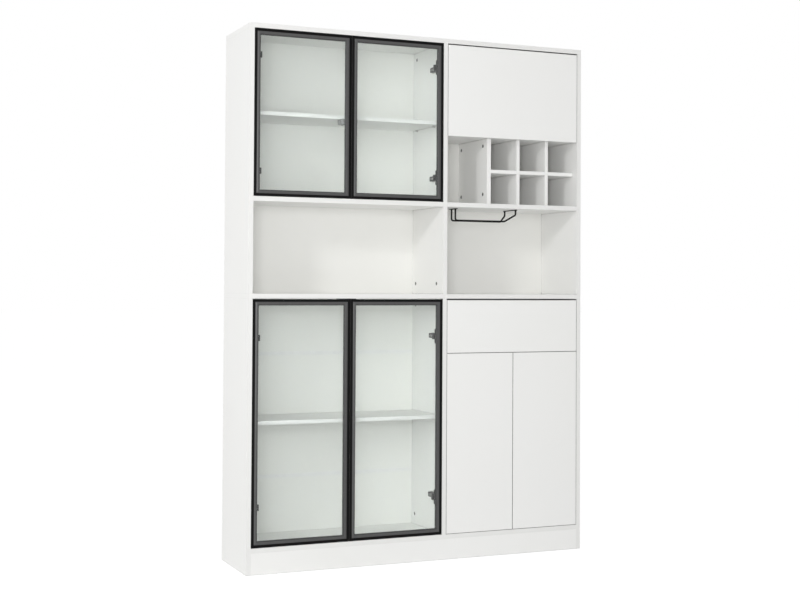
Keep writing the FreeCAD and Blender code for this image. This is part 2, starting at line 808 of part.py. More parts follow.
board_with("drawer_front", ("plain_left_low", "plain_right_high"), ("front", "front_back"),
           ("drawer_front_low", "drawer_front_high"),
           lambda name: [block(name + "_groove", SHEET_SPAN,
                               ("front_back - drawer_groove", "front_back + overrun"), SHEET_LEVELS)])
drawer_sides = []
for side, x, groove_x in (
        ("left", ("box_left", BOX_INNER[0]), (SHEET_SPAN[0], BOX_INNER[0] + " + overrun")),
        ("right", (BOX_INNER[1], "box_right"), (BOX_INNER[1] + " - overrun", SHEET_SPAN[1]))):
    blank = block(f"drawer_{side}_blank", x, SIDE_DEPTH, BOX_LEVELS)
    groove = block(f"drawer_{side}_groove", groove_x,
                   ("front_back - overrun", "box_rear - drawer_side_thick"), SHEET_LEVELS)
    drawer_sides.append(cut(f"drawer_{side}_side", blank, [groove]))
keep("drawer_sides", group("drawer_sides", drawer_sides))
board_with("drawer_back", BOX_INNER, ("box_rear - drawer_side_thick", "box_rear"), BOX_LEVELS,
           lambda name: [block(name + "_groove", (BOX_INNER[0] + " - overrun", BOX_INNER[1] + " + overrun"),
                               ("box_rear - drawer_side_thick - overrun",
                                "box_rear - drawer_side_thick + drawer_groove"), SHEET_LEVELS)])
sheet_step = "box_rear - drawer_side_thick"
keep("drawer_bottom", fuse("drawer_bottom", [
    block("drawer_sheet_main", SHEET_SPAN, ("front_back - drawer_groove", sheet_step), SHEET_LEVELS),
    block("drawer_sheet_tongue", BOX_INNER, (sheet_step, sheet_step + " + drawer_groove"), SHEET_LEVELS),
]))

# Drawer runners: a channel on the wall, and a smaller one on the drawer that slides inside it


def channel(name, tall, lip_reach, metal_side):
    """A channel along its own Y, with its web at zero and its lips towards +X or -X."""
    body = document.addObject("PartDesign::Body", name)
    sign = "" if metal_side > 0 else "0 - "
    web = f"{sign}runner_metal"
    tip = f"{sign}{lip_reach}"
    high = f"{tall} / 2"
    section = outline(body, name + "_section", "XZ_Plane", [
        ("0", f"0 - {high}"),
        (tip, f"0 - {high}"),
        (tip, f"runner_metal - {high}"),
        (web, f"runner_metal - {high}"),
        (web, f"{high} - runner_metal"),
        (tip, f"{high} - runner_metal"),
        (tip, high),
        ("0", high),
    ])
    pad_of(body, section, "runner_end - (runner_start)", True)
    return body


INNER_TALL = "(runner_tall - 2 * runner_metal - 2 * runner_play)"
RUNNER_PLACE = ("runner_start", "runner_middle")
keep("runner_rails", group("runner_rails", [
    put(channel("left_rail", "runner_tall", "runner_lip", 1), "divider_right", *RUNNER_PLACE),
    put(channel("right_rail", "runner_tall", "runner_lip", -1), "inner_right", *RUNNER_PLACE),
]))
keep("drawer_runners", group("drawer_runners", [
    put(channel("left_runner", INNER_TALL, "runner_inner_lip", -1), "box_left", *RUNNER_PLACE),
    put(channel("right_runner", INNER_TALL, "runner_inner_lip", 1), "box_right", *RUNNER_PLACE),
]))

# Stemware rack: two bent wires that open outwards at the mouth, under two flat straps


def route_point(name, x, y, z):
    point = document.addObject("Part::Vertex", name)
    for letter, text in (("X", x), ("Y", y), ("Z", z)):
        bind(point, letter, text)
    point.recompute()
    return FreeCAD.Vector(point.X, point.Y, point.Z)


def bent_wire(name, points, bend, radius, sides):
    """A wire of many flat sides along straight runs, with an arc at each corner."""
    edges = []
    start = points[0]
    for before, corner, after in zip(points, points[1:], points[2:]):
        back = (before - corner).normalize()
        ahead = (after - corner).normalize()
        half_turn = back.getAngle(ahead) / 2
        run_in = corner + back * (bend / math.tan(half_turn))
        run_out = corner + ahead * (bend / math.tan(half_turn))
        bisector = (back + ahead).normalize()
        middle = corner + bisector * (bend / math.sin(half_turn) - bend)
        edges.append(Part.LineSegment(start, run_in).toShape())
        edges.append(Part.Arc(run_in, middle, run_out).toShape())
        start = run_out
    edges.append(Part.LineSegment(start, points[-1]).toShape())
    path = Part.Wire(edges)
    ring = Part.makeCircle(radius, points[0], points[1] - points[0]).discretize(sides + 1)
    section = Part.makePolygon(ring)
    piece = document.addObject("Part::Feature", name)
    piece.Shape = path.makePipeShell([section], True, False)
    return piece


wire_pieces = []
for side, sign in (("front", "-"), ("rear", "+")):
    y = f"wire_y {sign} wire_slot / 2"
    flared_y = f"{y} {sign} wire_flare_out"
    mouth = "wire_x + wire_rail"
    route = [
        route_point(side + "_top", "wire_x", y, "wire_high"),
        route_point(side + "_bend", "wire_x", y, "wire_low"),
        route_point(side + "_mouth", mouth, y, "wire_low"),
        route_point(side + "_flare", mouth + " + wire_flare_long", flared_y, "wire_low + wire_flare_rise"),
        route_point(side + "_end", mouth + " + wire_flare_long", flared_y, "wire_high"),
    ]
    wire_pieces.append(bent_wire(side + "_wire", route, sheet_value("wire_bend"), sheet_value("wire_radius"),
                                 round(sheet_value("wire_sides"))))


def strap(name, x, half_length):
    """A flat strap under the board, across both wires."""
    return block(name, (f"{x} - wire_strap_wide / 2", f"{x} + wire_strap_wide / 2"),
                 (f"wire_y - ({half_length})", f"wire_y + ({half_length})"), ("wire_high", "deck_under"))


wire_pieces.append(strap("closed_end_strap", "wire_x", "wire_slot / 2 + wire_strap_over"))
wire_pieces.append(strap("mouth_strap", "wire_x + wire_rail + wire_flare_long",
                         "wire_slot / 2 + wire_flare_out + wire_strap_over / 2"))
keep("glass_rack", fuse("glass_rack", wire_pieces))

keep("cam_locks", group("cam_locks", cams))
keep("shelf_pins", group("shelf_pins", pins))

document.recompute()

# Every object must be sound before anything is written
faults = [thing.Name for thing in document.Objects
          if {"Invalid", "Error"} & set(thing.State)]
faults += [name for name, piece in nodes.items()
           if piece.Shape.isNull() or not piece.Shape.isValid() or not piece.Shape.Solids]
if faults:
    raise RuntimeError("unsound pieces: " + ", ".join(faults))

os.makedirs("parts", exist_ok=True)
for name, piece in nodes.items():
    piece.Shape.exportStep(f"parts/{name}.step")
print(len(nodes), "nodes,", sum(len(piece.Shape.Solids) for piece in nodes.values()), "solids")
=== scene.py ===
import json
import math

import bmesh
import bpy
from mathutils import Matrix, Vector


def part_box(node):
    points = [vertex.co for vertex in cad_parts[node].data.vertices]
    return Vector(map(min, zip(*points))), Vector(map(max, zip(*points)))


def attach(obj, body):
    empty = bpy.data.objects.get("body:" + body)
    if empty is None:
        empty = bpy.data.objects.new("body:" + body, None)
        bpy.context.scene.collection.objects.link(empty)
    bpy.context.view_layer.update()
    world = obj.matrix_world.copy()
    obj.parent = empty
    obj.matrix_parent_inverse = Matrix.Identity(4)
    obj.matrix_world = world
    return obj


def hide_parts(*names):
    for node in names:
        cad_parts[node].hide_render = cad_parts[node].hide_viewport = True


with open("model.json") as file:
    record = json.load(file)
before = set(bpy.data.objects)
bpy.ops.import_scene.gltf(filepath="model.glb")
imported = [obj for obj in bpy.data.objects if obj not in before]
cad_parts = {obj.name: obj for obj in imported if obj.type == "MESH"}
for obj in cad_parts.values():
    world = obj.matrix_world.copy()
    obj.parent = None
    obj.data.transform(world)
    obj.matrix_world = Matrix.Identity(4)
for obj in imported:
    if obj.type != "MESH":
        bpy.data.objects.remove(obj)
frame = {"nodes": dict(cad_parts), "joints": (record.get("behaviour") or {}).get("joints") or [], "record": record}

# Display cabinet: X to the right, Y to the rear, Z up, origin in the middle of the footprint on the floor.
# The frame and the studio are in metres, noises' scales per metre, the pieces' own sizes in millimetres.
scene = bpy.context.scene
nodes = frame["nodes"]
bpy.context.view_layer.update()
MM = 0.001
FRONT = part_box("plinth_front")[0].y
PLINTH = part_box("plinth_front")[1]
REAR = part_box("upper_top_board")[1].y
SHEET_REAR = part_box("upper_back_panels")[1].y


# Camera, at the photograph's place: left of the front, at mid height

CAMERA = {"sensor": 36.0, "lens": 61.224, "shift_up": -0.0572, "place": (-1.85498, -4.22537, 0.90524)}
HEADING = {"yaw": 23.4148, "pitch": 1.3247, "roll": 0.3165}


def aim(yaw, pitch, roll):
    """A camera's turn from its heading towards +X, its tilt up and its roll, in degrees."""
    yaw, pitch, roll = (math.radians(angle) for angle in (yaw, pitch, roll))
    ahead = Vector((math.sin(yaw) * math.cos(pitch), math.cos(yaw) * math.cos(pitch), math.sin(pitch)))
    across = Vector((math.cos(yaw), -math.sin(yaw), 0))
    upward = across.cross(ahead)
    right = across * math.cos(roll) + upward * math.sin(roll)
    up = upward * math.cos(roll) - across * math.sin(roll)
    return Matrix((right, up, -ahead)).transposed()


camera_data = bpy.data.cameras.new("camera")
camera = bpy.data.objects.new("camera", camera_data)
scene.collection.objects.link(camera)
camera_data.sensor_width = CAMERA["sensor"]
camera_data.lens = CAMERA["lens"]
camera_data.shift_y = CAMERA["shift_up"]
camera.matrix_world = Matrix.Translation(CAMERA["place"]) @ aim(**HEADING).to_4x4()
scene.camera = camera
scene.view_settings.view_transform = "Standard"


# Shaders

class Shader:
    """A node tree whose nodes are made and joined by short calls."""

    def __init__(self, owner):
        owner.use_nodes = True
        self.owner = owner
        self.tree = owner.node_tree
        self.tree.nodes.clear()

    def node(self, kind, feeds=(), **settings):
        made = self.tree.nodes.new("ShaderNode" + kind)
        for name, value in settings.items():
            setattr(made, name, value)
        for place, value in dict(feeds).items():
            self.feed(made.inputs[place], value)
        return made

    def feed(self, socket, value):
        if isinstance(value, bpy.types.NodeSocket):
            self.tree.links.new(value, socket)
        else:
            socket.default_value = value

    def place(self):
        return self.node("TexCoord").outputs["Object"]

    def axis(self, letter):
        return self.node("SeparateXYZ", {"Vector": self.place()}).outputs[letter]

    def stretched(self, scale):
        return self.node("Mapping", {"Vector": self.place(), "Scale": scale}).outputs["Vector"]

    def noise(self, scale, detail=2.0, vector=None, contrast=0.5):
        return self.node("TexNoise", {"Vector": vector or self.place(), "Scale": scale, "Detail": detail,
                                      "Roughness": contrast}).outputs["Fac"]

    def calc(self, operation, *values):
        made = self.node("Math", operation=operation)
        for socket, value in zip(made.inputs, values):
            self.feed(socket, value)
        return made.outputs["Value"]

    def ranged(self, value, low, high, to_low, to_high):
        feeds = {"Value": value, "From Min": low, "From Max": high, "To Min": to_low, "To Max": to_high}
        return self.node("MapRange", feeds).outputs["Result"]

    def share(self, value, low, high):
        """Zero up to the low value, and one from the high one on."""
        return self.ranged(value, low, high, 0.0, 1.0)

    def blend(self, share, first, second):
        made = self.node("Mix", data_type="RGBA")
        self.feed(made.inputs["Factor"], share)
        self.feed(made.inputs["A"], first)
        self.feed(made.inputs["B"], second)
        return made.outputs["Result"]

    def mixed(self, share, first, second):
        made = self.node("MixShader", {"Fac": share})
        self.feed(made.inputs[1], first)
        self.feed(made.inputs[2], second)
        return made.outputs["Shader"]

    def soft_edge(self, radius):
        """Normals rounded over the edges, by a radius in millimetres."""
        return self.node("Bevel", {"Radius": radius * MM}, samples=4).outputs["Normal"]

    def closeness(self, reach):
        """Zero deep in a gap, half along an inside corner, one on open faces. The reach is in millimetres."""
        return self.node("AmbientOcclusion", {"Distance": reach * MM}, samples=6).outputs["AO"]

    def edge_share(self, rounded):
        """One near an edge and zero on open faces."""
        flat = self.node("NewGeometry").outputs["Normal"]
        made = self.node("VectorMath", operation="DOT_PRODUCT")
        self.feed(made.inputs[0], rounded)
        self.feed(made.inputs[1], flat)
        return self.share(made.outputs["Value"], 1.0, 0.93)

    def bump(self, height, distance, strength, normal=None):
        """Normals over a height field, whose full height is a distance in millimetres."""
        feeds = {"Height": height, "Distance": distance * MM, "Strength": strength}
        if normal is not None:
            feeds["Normal"] = normal
        return self.node("Bump", feeds).outputs["Normal"]

    def white_light(self, kind, strength):
        return self.node(kind, {"Color": grey(1.0), "Strength": strength}).outputs[kind]

    def seen(self):
        """One for rays by which the camera sees a surface, straight, mirrored or through glass."""
        path = self.node("LightPath").outputs
        return self.calc("MAXIMUM", path["Is Camera Ray"],
                         self.calc("MAXIMUM", path["Is Glossy Ray"], path["Is Transmission Ray"]))

    def finish(self, shader):
        output = self.node("OutputWorld" if isinstance(self.owner, bpy.types.World) else "OutputMaterial")
        self.tree.links.new(shader, output.inputs["Surface"])
        return self.owner


def grey(value, warmth=0.0):
    return (value * (1 + warmth), value, value * (1 - warmth), 1.0)


def cream(value, yellow):
    return (value, value, value * (1 - yellow), 1.0)


def made_of(name, build):
    shader = Shader(bpy.data.materials.new(name))
    return shader.finish(build(shader))


def principled(shader, **feeds):
    names = {"colour": "Base Color", "roughness": "Roughness", "metallic": "Metallic", "normal": "Normal",
             "ior": "IOR", "transmission": "Transmission Weight"}
    return shader.node("BsdfPrincipled", {names[key]: value for key, value in feeds.items()}).outputs["BSDF"]


# Faces are picked by their place, from this little before it
HAIR = 0.05 * MM
WHITE = 0.91
LAMINATE = {"clear": cream(WHITE, 0.016), "cloudy": cream(WHITE * 0.99, 0.022),
            "edging": cream(WHITE * 0.93, 0.02), "edge_wear_and_highlight": cream(WHITE * 0.74, 0.04), "edge_wear_and_highlight_share": 0.6}
CHIPBOARD = {"dark": (0.36, 0.23, 0.12, 1.0), "light": (0.66, 0.5, 0.32, 1.0), "roughness": 0.85}
# Painted shade: how far the white boards darken towards black in gaps and along inside corners
GAP_SHADE = {"reach": 8.0, "deep": 0.2, "open": 0.58, "darkest": 0.88, "colour": grey(0.02)}


def white_board(shader):
    """Colour, roughness and normal of white melamine with a faint pearl grain and eased edges."""
    grain = shader.noise(1400.0, detail=3.0)
    pearl = shader.noise(420.0)
    clouds = shader.noise(2.2, detail=3.0)
    rounded = shader.soft_edge(0.7)
    edge_wear_and_highlight = shader.calc("MULTIPLY", shader.edge_share(rounded), LAMINATE["edge_wear_and_highlight_share"])
    colour = shader.blend(shader.share(clouds, 0.35, 0.65), LAMINATE["cloudy"], LAMINATE["clear"])
    colour = shader.blend(edge_wear_and_highlight, colour, LAMINATE["edge_wear_and_highlight"])
    roughness = shader.ranged(pearl, 0.3, 0.7, 0.36, 0.46)
    height = shader.calc("ADD", grain, shader.calc("MULTIPLY", pearl, 1.6))
    return colour, roughness, shader.bump(height, 0.06, 0.5, rounded)


def with_painted_gap_shade(shader, colour):
    """The colour with painted shade: darkened by ambient occlusion in the gaps between boards and a little along
    inside corners.
    """
    dark = shader.ranged(shader.closeness(GAP_SHADE["reach"]), GAP_SHADE["deep"], GAP_SHADE["open"], GAP_SHADE["darkest"], 0.0)
    return shader.blend(dark, colour, GAP_SHADE["colour"])


def front_laminate(shader):
    colour, roughness, normal = white_board(shader)
    return principled(shader, colour=with_painted_gap_shade(shader, colour), roughness=roughness, normal=normal)


def case_laminate(shader):
    """White boards with bare chipboard on the rear edges and a duller edging on the front ones.

    The plinth's front is a whole face, and has no edging."""
    colour, roughness, normal = white_board(shader)
    bare = shader.calc("GREATER_THAN", shader.axis("Y"), REAR - HAIR)
    cells = shader.node("TexVoronoi", {"Vector": shader.stretched((1.0, 1.0, 0.45)), "Scale": 420.0})
    chips = shader.share(cells.outputs["Color"], 0.2, 0.8)
    colour = shader.blend(bare, colour, shader.blend(chips, CHIPBOARD["dark"], CHIPBOARD["light"]))
    roughness = shader.calc("MAXIMUM", roughness, shader.calc("MULTIPLY", bare, CHIPBOARD["roughness"]))
    over = shader.calc("GREATER_THAN", shader.axis("Z"), PLINTH.z)
    beside = shader.calc("GREATER_THAN", shader.calc("ABSOLUTE", shader.axis("X")), PLINTH.x)
    front = shader.calc("LESS_THAN", shader.axis("Y"), FRONT + HAIR)
    edged = shader.calc("MULTIPLY", front, shader.calc("MAXIMUM", over, beside))
    colour = shader.blend(edged, colour, LAMINATE["edging"])
    return principled(shader, colour=with_painted_gap_shade(shader, colour), roughness=roughness, normal=normal)


PAINT = {"clear": cream(0.895, 0.03), "cloudy": cream(0.875, 0.035), "roughness": 0.52}
FIBRES = {"dark": (0.22, 0.125, 0.062, 1.0), "light": (0.36, 0.225, 0.125, 1.0), "roughness": 0.82,
          "speck": (0.12, 0.066, 0.034, 1.0), "speck_share": 0.5}


def backboard(shader):
    """Thin fibreboard: painted white towards the room, bare brown fibres behind."""
    bare = shader.calc("GREATER_THAN", shader.axis("Y"), SHEET_REAR - HAIR)
    fibres = shader.noise(260.0, detail=5.0, vector=shader.stretched((1.0, 1.0, 0.35)), contrast=0.65)
    specks = shader.noise(900.0)
    clouds = shader.noise(3.0, detail=3.0)
    paint = shader.blend(shader.share(clouds, 0.35, 0.65), PAINT["cloudy"], PAINT["clear"])
    brown = shader.blend(shader.share(fibres, 0.3, 0.7), FIBRES["dark"], FIBRES["light"])
    speckled = shader.ranged(specks, 0.62, 0.7, 0.0, FIBRES["speck_share"])
    brown = shader.blend(speckled, brown, FIBRES["speck"])
    height = shader.calc("ADD", specks, fibres)
    return principled(shader, colour=shader.blend(bare, paint, brown),
                      roughness=shader.ranged(bare, 0.0, 1.0, PAINT["roughness"], FIBRES["roughness"]),
                      normal=shader.bump(height, 0.08, 0.5))


ANODISED = {"dark": grey(0.066), "light": grey(0.086), "metallic": 0.35, "edge_wear_and_highlight": grey(0.13),
            "edge_wear_and_highlight_share": 0.4}
# The rails' rim lies a little behind their front face, between these two depths in millimetres. Its near-black
# colour is painted shade.
RIM_SHADE = {"from": 0.6, "to": 1.1, "dark": grey(0.010), "light": grey(0.016), "roughness": 0.7}


def black_aluminium(shader):
    """Anodised rails, brushed lengthwise, with a set-back rim painted near black as shade and arrises made lighter
    as a painted highlight.
    """
    streaks = shader.noise(900.0, detail=3.0, vector=shader.stretched((1.0, 1.0, 0.02)))
    cross = shader.noise(900.0, detail=3.0, vector=shader.stretched((0.02, 1.0, 1.0)))
    brushed = shader.calc("MULTIPLY", shader.calc("ADD", streaks, cross), 0.5)
    rounded = shader.soft_edge(0.6)
    # Painted highlight: the colour turns lighter near the edges
    edge_wear_and_highlight = shader.calc("MULTIPLY", shader.edge_share(rounded), ANODISED["edge_wear_and_highlight_share"])
    deep = shader.axis("Y")
    rim = shader.calc("MULTIPLY", shader.calc("GREATER_THAN", deep, FRONT + RIM_SHADE["from"] * MM),
                      shader.calc("LESS_THAN", deep, FRONT + RIM_SHADE["to"] * MM))
    face = shader.blend(shader.share(brushed, 0.35, 0.65), ANODISED["dark"], ANODISED["light"])
    face = shader.blend(edge_wear_and_highlight, face, ANODISED["edge_wear_and_highlight"])
    # Painted shade: the set-back rim takes a near-black colour
    colour = shader.blend(rim, face, shader.blend(brushed, RIM_SHADE["dark"], RIM_SHADE["light"]))
    roughness = shader.calc("MAXIMUM", shader.ranged(brushed, 0.3, 0.7, 0.34, 0.46),
                            shader.calc("MULTIPLY", rim, RIM_SHADE["roughness"]))
    return principled(shader, colour=colour, roughness=roughness,
                      metallic=shader.ranged(rim, 0.0, 1.0, ANODISED["metallic"], 1.0),
                      normal=shader.bump(brushed, 0.03, 0.4, rounded))


def steel(tone, rough, warmth=0.02):
    """Plated steel with faint streaks, cloudy tones and arrises made lighter as a painted highlight."""
    cloudy, clear, edge_highlight_tone = (grey(tone * share, warmth) for share in (0.86, 1.0, 1.35))

    def build(shader):
        streaks = shader.noise(1500.0, detail=3.0, vector=shader.stretched((1.0, 0.05, 1.0)))
        clouds = shader.noise(160.0, detail=3.0)
        rounded = shader.soft_edge(0.5)
        # Painted highlight: the colour turns lighter along the arrises
        edge_wear_and_highlight = shader.calc("MULTIPLY", shader.edge_share(rounded), 0.5)
        colour = shader.blend(shader.share(clouds, 0.3, 0.7), cloudy, clear)
        return principled(shader, colour=shader.blend(edge_wear_and_highlight, colour, edge_highlight_tone), metallic=1.0,
                          roughness=shader.ranged(streaks, 0.3, 0.7, rough - 0.06, rough + 0.08),
                          normal=shader.bump(streaks, 0.03, 0.5, rounded))

    return build


def plastic(tone, rough):
    """Moulded plastic with a fine spark-eroded grain."""
    cloudy, clear = grey(tone * 0.94), grey(tone)

    def build(shader):
        spark = shader.noise(1800.0, detail=3.0)
        clouds = shader.noise(60.0)
        return principled(shader, colour=shader.blend(shader.share(clouds, 0.35, 0.65), cloudy, clear),
                          roughness=shader.ranged(spark, 0.3, 0.7, rough - 0.06, rough + 0.06),
                          normal=shader.bump(spark, 0.04, 0.4, shader.soft_edge(0.6)))

    return build


def black_wire(shader):
    """Powder coat: a fine orange peel over black."""
    peel = shader.noise(700.0)
    return principled(shader, colour=shader.blend(shader.share(peel, 0.4, 0.7), grey(0.010), grey(0.018)),
                      roughness=shader.ranged(peel, 0.3, 0.7, 0.38, 0.5), metallic=0.8,
                      normal=shader.bump(peel, 0.1, 0.4))


GLASS = {"tint": (0.79, 0.812, 0.803, 1.0), "shadow_tint": (0.78, 0.79, 0.785, 1.0), "ior": 1.5}


def clear_glass(shader):
    """Float glass with a faint green cast and slight waves, letting the lamps through."""
    waves = shader.noise(6.0)
    glass = principled(shader, colour=GLASS["tint"], roughness=0.0, ior=GLASS["ior"], transmission=1.0,
                       normal=shader.bump(waves, 0.4, 0.06))
    passing = shader.node("BsdfTransparent", {"Color": GLASS["shadow_tint"]}).outputs["BSDF"]
    return shader.mixed(shader.node("LightPath").outputs["Is Shadow Ray"], glass, passing)


builders = {
    "white_laminate": case_laminate,
    "white_front": front_laminate,
    "white_backboard": backboard,
    "white_plastic": plastic(tone=0.885, rough=0.35),
    "black_aluminium": black_aluminium,
    "clear_glass": clear_glass,
    "nickel_steel": steel(tone=0.58, rough=0.28),
    "zinc_steel": steel(tone=0.30, rough=0.42, warmth=0.0),
    "grey_plastic": plastic(tone=0.32, rough=0.42),
    "black_wire": black_wire,
    "dark_steel": steel(tone=0.30, rough=0.36),
    "cam_zinc": steel(tone=0.20, rough=0.40, warmth=0.0),
    "black_rubber": plastic(tone=0.09, rough=0.6),
    # Near-black steel for the hinge arms and the glass doors' knuckles: painted shade
    "arm_steel_painted_shade": steel(tone=0.055, rough=0.40),
}
finishes = {name: made_of(name, build) for name, build in builders.items()}

for row in frame["record"]["subparts"]:
    for place in nodes[row["node"]].material_slots:
        place.material = finishes[row["material_slot"]]


# Mesh work: shapes are points in millimetres and faces, and a matrix in millimetres puts each in its place

SHARP = math.radians(32)
TO_X = Matrix.Rotation(math.radians(90), 4, "Y")
TO_LEFT = Matrix.Rotation(math.radians(-90), 4, "Y")
TO_REAR = Matrix.Rotation(math.radians(-90), 4, "X")
TO_UNDER = Matrix.Rotation(math.radians(180), 4, "X")
# An outline in Y and Z, made solid along X
ON_WALL = Matrix(((0, 0, 1, 0), (1, 0, 0, 0), (0, 1, 0, 0), (0, 0, 0, 1)))
# An outline in X and Z, made solid along Y
ON_FRONT = Matrix(((1, 0, 0, 0), (0, 0, 1, 0), (0, 1, 0, 0), (0, 0, 0, 1)))


def spot(x, y, z, turn=Matrix()):
    return Matrix.Translation((x, y, z)) @ turn


def lofted(loops, closed=False):
    """A solid through loops of equally many points, capped at both ends or closed on itself."""
    count = len(loops[0])
    points = [point for loop in loops for point in loop]
    faces = []
    for here in range(len(loops) if closed else len(loops) - 1):
        low, high = here * count, (here + 1) % len(loops) * count
        faces += [[low + k, low + (k + 1) % count, high + (k + 1) % count, high + k] for k in range(count)]
    if not closed:
        faces += [list(range(count)), list(range(len(points) - count, len(points)))]
    return points, faces


def prism(outline, low, high):
    """An outline in X and Y made solid between two heights."""
    return lofted([[(x, y, z) for x, y in outline] for z in (low, high)])


def block(low, high):
    (left, front, bottom), (right, rear, top) = low, high
    return prism([(left, front), (right, front), (right, rear), (left, rear)], bottom, top)


def turned(profile, sides=24):
    """A solid turned about Z, from pairs of radius and height."""
    points, faces, rings = [], [], []
    for radius, height in profile:
        count = sides if radius else 1
        rings.append(range(len(points), len(points) + count))
        angles = [math.tau * k / sides for k in range(count)]
        points += [(radius * math.cos(angle), radius * math.sin(angle), height) for angle in angles]
    for low, high in zip(rings, rings[1:]):
        for k in range(sides):
            after = (k + 1) % sides
            corners = [low[k % len(low)], low[after % len(low)], high[after % len(high)], high[k % len(high)]]
            faces.append(list(dict.fromkeys(corners)))
    return points, faces


def cross_head(profile, arm, half, depth, finer=1):
    """A turned head with a recess in its top: a cross with arms of a length and half a width."""
    sides = 16 * finer
    points, faces = turned([(0, profile[0][1])] + profile, sides)
    corners = [Vector(pair) for pair in ((arm, 0), (arm, half), (half, half), (half, arm), (0, arm))]
    quarter = [start.lerp(end, k / finer) for start, end in zip(corners, corners[1:]) for k in range(finer)]
    loop = [Matrix.Rotation(math.tau * turn / 4, 2) @ point for turn in range(4) for point in quarter]
    top = profile[-1][1]
    rings = [range(len(points) - sides, len(points))]
    for share, height in ((1.0, top), (0.8, top - depth)):
        rings.append(range(len(points), len(points) + sides))
        points += [(point.x * share, point.y * share, height) for point in loop]
    for outer, inner in zip(rings, rings[1:]):
        for k in range(sides):
            after = (k + 1) % sides
            faces.append([outer[k], outer[after], inner[after], inner[k]])
    return points, faces + [list(rings[-1])]


def eased(shape, ease, steps=2):
    """The same closed shape with its sharp edges rounded."""
    points, faces = shape
    work = bmesh.new()
    made = [work.verts.new(point) for point in points]
    for face in faces:
        work.faces.new([made[index] for index in face])
    bmesh.ops.recalc_face_normals(work, faces=work.faces)
    sharp = [edge for edge in work.edges if edge.calc_face_angle(0) > SHARP]
    bmesh.ops.bevel(work, geom=sharp, offset=ease, segments=steps, profile=0.5, affect="EDGES",
                    clamp_overlap=True)
    work.verts.index_update()
    points = [vert.co.copy() for vert in work.verts]
    faces = [[vert.index for vert in face.verts] for face in work.faces]
    work.free()
    return points, faces


def arc_points(radius, start, end, steps):
    """Points of an arc about the origin, between two angles in degrees."""
    angles = [math.radians(start + (end - start) * k / steps) for k in range(steps + 1)]
    return [(radius * math.cos(angle), radius * math.sin(angle)) for angle in angles]


def rounded_route(corners, bend, steps=6):
    """The line through the corners, with an arc in place of each inner one."""
    route = [corners[0]]
    for before, corner, after in zip(corners, corners[1:], corners[2:]):
        back, ahead = (before - corner).normalized(), (after - corner).normalized()
        half = back.angle(ahead) / 2
        centre = corner + (back + ahead).normalized() * (bend / math.sin(half))
        start, end = (corner + side * (bend / math.tan(half)) - centre for side in (back, ahead))
        route += [centre + start.slerp(end, k / steps) * bend for k in range(steps + 1)]
    return route + [corners[-1]]


def rounded_plate(low, high, bend):
    """A rectangle's outline in X and Y with an arc at each corner."""
    (left, front), (right, rear) = low, high
    corners = [Vector((x, y, 0)) for x, y in ((left, front), (right, front), (right, rear), (left, rear))]
    route = rounded_route([corners[-1]] + corners + [corners[0]], bend, steps=5)
    return [(point.x, point.y) for point in route[1:-1]]


def swept(route, radius, sides=16):
    """A round bar along a line of points, with its ends a little domed."""
    ways = [(after - before).normalized() for before, after in zip(route, route[1:])]
    ways = [ways[0]] + [(before + after).normalized() for before, after in zip(ways, ways[1:])] + [ways[-1]]
    across = ways[0].orthogonal().normalized()
    dome, narrowed = 0.3, 0.6
    stations = [(route[0] - ways[0] * radius * dome, narrowed, ways[0])]
    stations += [(point, 1.0, way) for point, way in zip(route, ways)]
    stations.append((route[-1] + ways[-1] * radius * dome, narrowed, ways[-1]))
    angles = [math.tau * k / sides for k in range(sides)]
    loops = []
    for centre, share, way in stations:
        across = (across - way * across.dot(way)).normalized()
        other = way.cross(across)
        loops.append([centre + (across * math.cos(angle) + other * math.sin(angle)) * radius * share
                      for angle in angles])
    return lofted(loops)


class Work:
    """A piece under construction, of shapes added through matrices."""

    def __init__(self):
        self.mesh = bmesh.new()

    def add(self, shape, place=Matrix()):
        points, faces = shape
        made = [self.mesh.verts.new((place @ Vector(point)) * MM) for point in points]
        for face in faces:
            self.mesh.faces.new([made[index] for index in face])

    def keep(self, name, body, slot, finish, *replaced):
        """Make the piece an object that rides on a body, and stands for the nodes that it replaces."""
        bmesh.ops.recalc_face_normals(self.mesh, faces=self.mesh.faces)
        mesh = bpy.data.meshes.new(name)
        self.mesh.to_mesh(mesh)
        self.mesh.free()
        mesh.shade_smooth()
        mesh.set_sharp_from_angle(angle=SHARP)
        mesh.materials.append(finishes[finish])
        made = bpy.data.objects.new(name, mesh)
        scene.collection.objects.link(made)
        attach(made, body)
        if replaced:
            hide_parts(*replaced)


def corners_of(node):
    """A node's lowest and highest corner in millimetres."""
    low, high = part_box(node)
    return low / MM, high / MM


def solids_of(node):
    """The lowest and highest corner of each separate solid of a node, in millimetres."""
    work = bmesh.new()
    work.from_mesh(nodes[node].data)
    bmesh.ops.remove_doubles(work, verts=work.verts, dist=0.01 * MM)
    waiting = set(work.verts)
    boxes = []
    while waiting:
        near, found = [waiting.pop()], []
        while near:
            vert = near.pop()
            found.append(vert.co / MM)
            linked = {edge.other_vert(vert) for edge in vert.link_edges} & waiting
            waiting -= linked
            near += linked
        boxes.append([Vector(pick(axis) for axis in zip(*found)) for pick in (min, max)])
    work.free()
    return sorted(boxes, key=lambda box: [round(value, 1) for value in box[0]])


